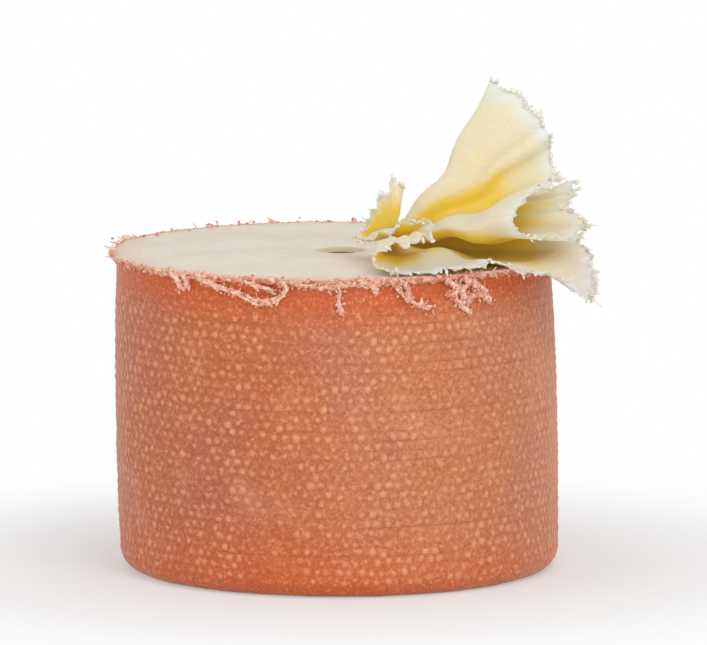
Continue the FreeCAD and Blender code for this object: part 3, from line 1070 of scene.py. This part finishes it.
def smooth_chance(chance, run, pitch):
    """Soft random values between -1 and 1 along the run, that change over about the pitch."""
    knots = int(run[-1] / pitch) + 4
    return between(chance.uniform(-1.3, 1.3, knots), run / pitch)


def sheet_middle(rosette, drum, azimuth, elevation, reach, share_out):
    """The middle of the sheet's thickness. Ruffles and buckles bend the space that the fan lies in."""
    width = drum.belly_radius - drum.seat_radius
    along = rosette.gather_radius + (reach - rosette.gather_radius) * share_out
    out = along / width
    ruffle = rosette.ruffle_depth * out**RUFFLE_GROWTH / along
    waves_round = 2 * math.pi * width / rosette.ruffle_pitch
    buckle = rosette.buckle_depth * np.sin(math.pi * np.minimum(out, 1.0)) ** 2 / along
    elevation = elevation + ruffle * np.sin(waves_round * azimuth)
    askew = 2 * math.pi * along / rosette.buckle_pitch + BUCKLE_SLANT * azimuth
    elevation = elevation - buckle * np.sin(askew)
    azimuth = azimuth + ruffle * np.sin(waves_round * elevation)
    away = drum.seat_radius + rosette.gather_gap
    gather = np.array([away * math.cos(rosette.gather_turn), away * math.sin(rosette.gather_turn),
                       drum.height + rosette.gather_height])
    points = gather + direction(azimuth, elevation) * along[..., None]
    points[..., 2] -= rosette.concavity * out * (1 - out) * np.maximum(0.0, np.sin(elevation)) ** 2
    return points


def let_rest(rosette, drum, points):
    """Lifts what would lie in the wheel on to the scraped top, and lets the rest fall softly past the rim."""
    from_axis = np.hypot(points[..., 0] - drum_centre(drum, drum.height), points[..., 1])
    past = np.maximum(0.0, from_axis - drum.belly_radius + drum.barrel_depth - drum.lip_reach)
    lowest = drum.height + rosette.seat_clearance + rosette.thickness / 2 - rosette.droop * past**2
    over = points[..., 2] - lowest
    points[..., 2] = lowest + 0.5 * (over + np.hypot(over, rosette.rest_softness))
    return points


def surface_normals(points):
    normals = np.cross(np.gradient(points, axis=0), np.gradient(points, axis=1))
    return normals / np.linalg.norm(normals, axis=2, keepdims=True)


def frayed_reach(rosette, chance, run, reach, width):
    """The outer edge's reach with its tears: ragged stretches of small nicks, larger nicks and gashes."""
    ragged = 0.6 + 0.4 * smooth_chance(chance, run, STRETCH_PITCH)
    small, large = (np.abs(smooth_chance(chance, run, pitch)) for pitch in NICK_PITCHES)
    gashes = np.clip(smooth_chance(chance, run, GASH_PITCH) - 0.30, 0, 1) * 1.6
    tear = ragged * (small * 0.6 + large * 0.7 + gashes) - 0.25
    return reach - rosette.fray_depth * tear * np.clip(reach / width, 0.3, 1.0)


def frill_lift(rosette, chance, run):
    """How far the outer edge waves off the sheet: a frill that swells and drifts, and a fine crumple."""
    drift = np.cumsum(1 + 0.7 * smooth_chance(chance, run, DRIFT_PITCH)) * (run[1] - run[0])
    swell = np.clip(0.5 + 0.9 * smooth_chance(chance, run, SWELL_PITCH), 0, 1)
    frill = rosette.frill_depth * swell * np.sin(2 * math.pi * drift / rosette.frill_pitch)
    return frill, 0.45 * rosette.frill_depth * smooth_chance(chance, run, CRUMPLE_PITCH)


def rosette_grid(rosette, drum):
    """The shaving's points and half thicknesses: columns along it, rows from the gather to the torn edge."""
    chance = np.random.default_rng(rosette.seed)
    width = drum.belly_radius - drum.seat_radius
    run, azimuth, elevation, reach = fold_path(width, rosette.columns)
    reach = frayed_reach(rosette, chance, run, reach, width)
    share_out = np.linspace(0, 1, rosette.rows)[None, :]
    points = sheet_middle(rosette, drum, azimuth[:, None], elevation[:, None], reach[:, None], share_out)
    frill, crumple = frill_lift(rosette, chance, run)
    lift = frill[:, None] * share_out**3 + crumple[:, None] * share_out**6
    points = let_rest(rosette, drum, points + surface_normals(points) * lift[..., None])
    half = 0.5 * (rosette.thickness + (rosette.edge_thickness - rosette.thickness) * share_out**4)
    return points, np.broadcast_to(half, points.shape[:2])


def grid_faces(columns, rows):
    """The corners of each face of a grid that is open on all four sides."""
    for i in range(columns - 1):
        for j in range(rows - 1):
            yield i * rows + j, (i + 1) * rows + j, (i + 1) * rows + j + 1, i * rows + j + 1


def sky_rays():
    """Directions spread evenly over the half sphere above the level, each as (x, y, z)."""
    golden = math.pi * (3 - math.sqrt(5))
    for k in range(RECESS_RAYS):
        rise = 0.15 + 0.85 * (k + 0.5) / RECESS_RAYS
        level = math.sqrt(1 - rise * rise)
        yield level * math.cos(golden * k), level * math.sin(golden * k), rise


def closed_in(tree, start, normal, rays, top):
    """The share of the directions round the normal in which the sheet, or the wheel's top, is near."""
    side = normal.orthogonal().normalized()
    other = normal.cross(side)
    met = 0.0
    for a, b, c in rays:
        ray = side * a + other * b + normal * c
        distance = tree.ray_cast(start, ray, RECESS_REACH)[3]
        if distance is not None:
            met += 1 - (distance / RECESS_REACH) ** 2
        elif ray.z < 0 and (top - start.z) / ray.z < RECESS_REACH:
            met += TOP_SHADE
    return met / len(rays)


def recess_values(points, normals, top):
    """How deep each place lies between the folds, for the sheet's one side and its other: the mask of the
    painted yellow glow.
    """
    along, across = RECESS_STEPS
    coarse = points[::along, ::across]
    columns, rows = coarse.shape[:2]
    tree = BVHTree.FromPolygons([Vector(p) for p in coarse.reshape(-1, 3)], list(grid_faces(columns, rows)))
    rays = list(sky_rays())
    for sign in (1, -1):
        values = np.zeros((columns, rows))
        for i, j in np.ndindex(columns, rows):
            normal = Vector(normals[i * along, j * across]) * sign
            start = Vector(coarse[i, j]) + normal * RECESS_STAND_OFF
            values[i, j] = closed_in(tree, start, normal, rays, top)
        for axis, step in ((1, across), (0, along)):
            known, wanted = np.arange(values.shape[axis]) * step, np.arange(points.shape[axis])
            values = np.apply_along_axis(lambda line: np.interp(wanted, known, line), axis, values)
        yield values


def torn_edge(rosette, points, normals):
    """The thin crumbly tongues that the scraper leaves along the sheet's outer edge, as a mesh of its own."""
    chance = np.random.default_rng(rosette.seed + 1)
    along = np.gradient(points[:, -1], axis=0)
    along /= np.linalg.norm(along, axis=1, keepdims=True)
    out = points[:, -1] - points[:, -4]
    out /= np.linalg.norm(out, axis=1, keepdims=True)
    vertices, faces = [], []
    share_out = np.linspace(0, 1, 6)[:, None]
    for _ in range(rosette.tongues):
        i = int(chance.integers(2, len(points) - 2))
        reach = rosette.tongue_length * min(3.0, 0.5 + chance.exponential(0.5))
        bend = normals[i, -1] * chance.normal(0, 0.45) + along[i] * chance.normal(0, 0.6)
        start = points[i, -1] - out[i] * TONGUE_ROOT
        path = start + reach * (out[i] * share_out + bend * share_out**1.6)
        width = chance.uniform(0.3, 1.0) * rosette.tongue_width
        ring, sides = crumbled_rope(path, normals[i, -1], width, 0.3, 0.4, chance)
        faces.extend(tuple(len(vertices) + k for k in face) for face in sides)
        vertices.extend(ring)
    return smooth_mesh("torn_edge", vertices, faces)


def sheet_mesh(points, normals, half):
    """The sheet as one closed shell: its two sides, and a narrow wall round its border."""
    columns, rows = points.shape[:2]
    sides = [points + normals * half[..., None], points - normals * half[..., None]]
    count = columns * rows
    faces = []
    for a, b, c, d in grid_faces(columns, rows):
        faces.append((a, b, c, d))
        faces.append((count + d, count + c, count + b, count + a))
    border = [i * rows for i in range(columns)]
    border += [(columns - 1) * rows + j for j in range(1, rows)]
    border += [i * rows + rows - 1 for i in range(columns - 2, -1, -1)]
    border += [j for j in range(rows - 2, 0, -1)]
    for a, b in zip(border, border[1:] + border[:1]):
        faces.append((b, a, count + a, count + b))
    return smooth_mesh("rosette_sheet", np.concatenate([side.reshape(-1, 3) for side in sides]), faces)


class CHEESE_OT_rosette(bpy.types.Operator):
    """Builds the gathered shaving with its ruffles, frill and torn edge"""

    bl_idname = "cheese.rosette"
    bl_label = "Rosette"

    def execute(self, context):
        drum, rosette = context.scene.cheese_drum, context.scene.cheese_rosette
        points, half = rosette_grid(rosette, drum)
        normals = surface_normals(points)
        mesh = sheet_mesh(points, normals, half)
        # The mask of the painted yellow glow between the folds.
        painted_glow_mask = np.concatenate([values.ravel() for values in recess_values(points, normals, drum.height)])
        store(mesh, "painted_glow_mask", painted_glow_mask)
        edge = np.broadcast_to(np.linspace(0, 1, rosette.rows), points.shape[:2])
        store(mesh, "edge", np.concatenate([edge.ravel(), edge.ravel()]))
        mesh.materials.append(shaving_material(rosette, "fresh shaving", 1.0, 0.002))
        sheet = new_object("rosette_sheet", mesh)
        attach(sheet, BODY)
        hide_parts("rosette")
        torn = torn_edge(rosette, points, normals)
        store(torn, "painted_glow_mask", np.zeros(len(torn.vertices)))
        store(torn, "edge", np.ones(len(torn.vertices)))
        torn.materials.append(shaving_material(rosette, "torn edge", 0.3, 0.0003))
        tongues = new_object("torn_edge", torn)
        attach(tongues, BODY)
        return {"FINISHED"}


# ---- the stage ---------------------------------------------------------------------------------------
def seen_rays(graph):
    """1 for the rays that show the background: the camera's own, and those off gloss and through glass."""
    rays = graph.add("ShaderNodeLightPath").outputs
    mirrored = graph.math("MAXIMUM", rays["Is Glossy Ray"], rays["Is Transmission Ray"])
    return graph.math("MAXIMUM", rays["Is Camera Ray"], mirrored)


def floor_material(stage):
    """A plain pale floor: white to the camera away from the cheese, and with its shadow close by."""
    material, graph, shader = principled("floor")
    graph.feed(shader, {"Base Color": stage.floor, "Roughness": 0.9, "Specular IOR Level": 0.1})
    white = graph.add("ShaderNodeEmission", WHITE, stage.backdrop).outputs[0]
    x, y, _ = graph.split(graph.on_piece())
    away = graph.remap(graph.vector("LENGTH", graph.join(x, y, 0.0)), *SHADOW_FADE, 0.35, 1.0)
    shown = graph.times(seen_rays(graph), away)
    mixed = graph.add("ShaderNodeMixShader", shown, shader.outputs[0], white).outputs[0]
    graph.feed(material.node_tree.nodes["Material Output"], {"Surface": mixed})
    return material


def soft_light(name, place, target, size, power):
    light = bpy.data.lights.new(name, "AREA")
    light.energy = power
    light.size = size
    lamp = new_object(name, light)
    lamp.location = place
    lamp.rotation_euler = (Vector(target) - Vector(place)).to_track_quat("-Z", "Y").to_euler()


def studio_world(stage):
    """Even light from all round, and a background of its own brightness."""
    world = bpy.data.worlds.new("studio")
    world.use_nodes = True
    graph = Graph(world.node_tree)
    sky = graph.feed(world.node_tree.nodes["Background"], {"Color": WHITE, "Strength": stage.sky}).outputs[0]
    shown = graph.add("ShaderNodeBackground", WHITE, stage.backdrop).outputs[0]
    mixed = graph.add("ShaderNodeMixShader", seen_rays(graph), sky, shown).outputs[0]
    graph.feed(world.node_tree.nodes["World Output"], {"Surface": mixed})
    return world


class CHEESE_OT_stage(bpy.types.Operator):
    """Builds the floor, the light and the camera"""

    bl_idname = "cheese.stage"
    bl_label = "Stage"

    def execute(self, context):
        scene, stage, drum = context.scene, context.scene.cheese_stage, context.scene.cheese_drum
        half = FLOOR_WIDTH / 2
        corners = [(-half, -half, 0), (half, -half, 0), (half, half, 0), (-half, half, 0)]
        floor = new_object("floor", smooth_mesh("floor", corners, [(0, 1, 2, 3)]))
        floor.data.materials.append(floor_material(stage))
        scene.world = studio_world(stage)
        for name, place, size, share_of_key in LAMPS:
            soft_light(name, place, (0.0, 0.0, drum.height * 0.7), size, share_of_key * stage.key)
        scene.view_settings.view_transform = "Standard"
        camera = bpy.data.cameras.new("camera")
        camera.lens = camera.sensor_width * stage.camera_distance / stage.view_width
        eye = new_object("camera", camera)
        low, high = (Vector(corner) for corner in CAD_BOX)
        aim = Vector(((low.x + high.x) / 2, 0.0, (low.z + high.z) / 2))
        back = Vector((0.0, -math.cos(stage.camera_height), math.sin(stage.camera_height)))
        eye.location = aim + back * stage.camera_distance
        eye.rotation_euler = (-back).to_track_quat("-Z", "Y").to_euler()
        scene.camera = eye
        return {"FINISHED"}


# ---- the add-on --------------------------------------------------------------------------------------
class CHEESE_PT_panel(bpy.types.Panel):
    """Lists the cheese's pieces and their settings"""

    bl_label = "Cheese"
    bl_space_type = "VIEW_3D"
    bl_region_type = "UI"
    bl_category = "Cheese"

    def draw(self, context):
        for group, operators in PANEL_ROWS:
            box = self.layout.box()
            settings = getattr(context.scene, group)
            for name in settings.bl_rna.properties.keys():
                if name not in ("rna_type", "name"):
                    box.prop(settings, name)
            for operator in operators:
                box.operator(operator)


SETTINGS = (
    ("cheese_drum", DrumSettings),
    ("cheese_rind", RindSettings),
    ("cheese_paste", PasteSettings),
    ("cheese_shreds", ShredSettings),
    ("cheese_rosette", RosetteSettings),
    ("cheese_stage", StageSettings),
)
PANEL_ROWS = (
    ("cheese_drum", ()),
    ("cheese_rind", ()),
    ("cheese_paste", ("cheese.wheel",)),
    ("cheese_shreds", ("cheese.shreds", "cheese.crumbs")),
    ("cheese_rosette", ("cheese.rosette",)),
    ("cheese_stage", ("cheese.stage",)),
)
OPERATORS = (CHEESE_OT_wheel, CHEESE_OT_shreds, CHEESE_OT_crumbs, CHEESE_OT_rosette, CHEESE_OT_stage)


def register():
    for name, group in SETTINGS:
        bpy.utils.register_class(group)
        setattr(bpy.types.Scene, name, PointerProperty(type=group))
    for item in (*OPERATORS, CHEESE_PT_panel):
        bpy.utils.register_class(item)


def unregister():
    for item in (CHEESE_PT_panel, *reversed(OPERATORS)):
        bpy.utils.unregister_class(item)
    for name, group in reversed(SETTINGS):
        delattr(bpy.types.Scene, name)
        bpy.utils.unregister_class(group)


def main():
    register()
    bpy.ops.cheese.wheel()
    bpy.ops.cheese.shreds()
    bpy.ops.cheese.crumbs()
    bpy.ops.cheese.rosette()
    bpy.ops.cheese.stage()


if __name__ == "__main__":
    main()
